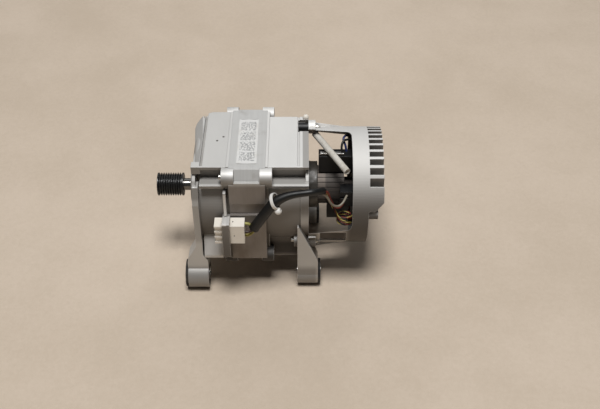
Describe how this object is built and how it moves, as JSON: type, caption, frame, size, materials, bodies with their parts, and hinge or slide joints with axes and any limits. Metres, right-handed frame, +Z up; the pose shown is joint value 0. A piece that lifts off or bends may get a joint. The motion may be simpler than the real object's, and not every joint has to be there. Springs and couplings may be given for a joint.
{
  "type": "washing machine motor",
  "caption": "Brushed electric motor with cast end shields, laminated stator, grooved belt pulley, finned brush end, rubber-bushed feet, plug and wiring; it drives a drum by a belt.",
  "frame": {"origin": "on the shaft axis, in the middle of the belt pulley", "axes": "+X along the shaft from the pulley to the brush end, -Y towards the plug, +Z up from the feet"},
  "size_m": [0.2213, 0.1374, 0.1493],
  "materials": {
    "cast_alloy": "satin as cast",
    "lamination": "streaky edges of laminations",
    "copper_winding": "varnished copper wire",
    "zinc_steel": "zinc plated",
    "bright_steel": "ground",
    "pulley_black": "black satin",
    "rubber": "matt",
    "paper": "bare paper",
    "black_plastic": "black moulded",
    "cream_plastic": "cream moulded",
    "white_plastic": "white nylon",
    "insulation": "pressed board",
    "bakelite": "dark moulded",
    "commutator_copper": "worn copper",
    "bearing_steel": "polished",
    "magnet": "sintered",
    "carbon": "pressed carbon",
    "contact_brass": "bright",
    "harness_black": "satin sleeve",
    "wire_earth": "yellow and green",
    "wire_brown": "brown",
    "wire_yellow": "yellow",
    "wire_red": "red",
    "wire_blue": "blue",
    "wire_black": "black",
    "wire_white": "white",
    "sleeve_grey": "woven sleeve"
  },
  "bodies": {
    "housing": {"front_shield": "cast_alloy", "rear_shell": "cast_alloy", "brush_shield": "cast_alloy", "stator_stack": "lamination", "field_coil_front": "copper_winding", "field_coil_rear": "copper_winding", "clamp_bolts": "zinc_steel", "clamp_washers": "zinc_steel", "strut_screws": "zinc_steel", "strut_spacers": "black_plastic", "label": "paper", "foot_bushes_front": "rubber", "foot_bushes_rear": "rubber", "foot_sleeves": "zinc_steel", "front_bearing_outer": "bearing_steel", "rear_bearing_outer": "bearing_steel", "wave_washer": "bright_steel", "tacho_coil": "insulation", "tacho_cap": "black_plastic", "brush_holder_top": "black_plastic", "brush_holder_bottom": "black_plastic", "brush_caps": "black_plastic", "brush_holder_screws": "zinc_steel", "brush_spring_top": "bright_steel", "brush_spring_bottom": "bright_steel", "brush_terminal": "bright_steel", "terminal_block": "black_plastic", "plug_housing": "cream_plastic", "plug_pins": "contact_brass", "harness_sleeve": "harness_black", "lead_earth": "wire_earth", "lead_brown": "wire_brown", "lead_yellow": "wire_yellow", "lead_red": "wire_red", "lead_blue": "wire_blue", "lead_black": "wire_black", "lead_white": "wire_white", "lead_loops": "wire_yellow", "lead_sleeve": "sleeve_grey", "cable_tie": "white_plastic", "cable_clip": "cream_plastic"},
    "rotor": {"shaft": "bright_steel", "pulley": "pulley_black", "rotor_stack": "lamination", "armature_winding": "copper_winding", "rotor_end_discs": "insulation", "commutator_hub": "bakelite", "commutator_bars": "commutator_copper", "retaining_ring": "zinc_steel", "front_bearing_inner": "bearing_steel", "rear_bearing_inner": "bearing_steel", "tacho_magnet": "magnet"},
    "front_balls": {"front_bearing_balls": "bearing_steel"},
    "rear_balls": {"rear_bearing_balls": "bearing_steel"},
    "brush_top": {"carbon_brush_top": "carbon"},
    "brush_bottom": {"carbon_brush_bottom": "carbon"}
  },
  "joints": [
    {"name": "rotor_spin", "type": "hinge", "parent": "housing", "child": "rotor", "pos_m": [0, 0, 0], "axis": [1, 0, 0], "continuous": true},
    {"name": "front_balls_orbit", "type": "hinge", "parent": "housing", "child": "front_balls", "pos_m": [0.03025, 0, 0], "axis": [1, 0, 0], "continuous": true},
    {"name": "rear_balls_orbit", "type": "hinge", "parent": "housing", "child": "rear_balls", "pos_m": [0.1915, 0, 0], "axis": [1, 0, 0], "continuous": true},
    {"name": "brush_top_slide", "type": "slide", "parent": "housing", "child": "brush_top", "axis": [0, 0, 1], "range_m": [0, 0.003], "stiffness_N_per_m": 300, "springref_m": -0.01, "deforming": ["brush_spring_top"]},
    {"name": "brush_bottom_slide", "type": "slide", "parent": "housing", "child": "brush_bottom", "axis": [0, 0, -1], "range_m": [0, 0.003], "stiffness_N_per_m": 300, "springref_m": -0.01, "deforming": ["brush_spring_bottom"]}
  ],
  "couplings": [
    {"joint": "front_balls_orbit", "follows": "rotor_spin", "ratio": 0.388},
    {"joint": "rear_balls_orbit", "follows": "rotor_spin", "ratio": 0.3727}
  ]
}
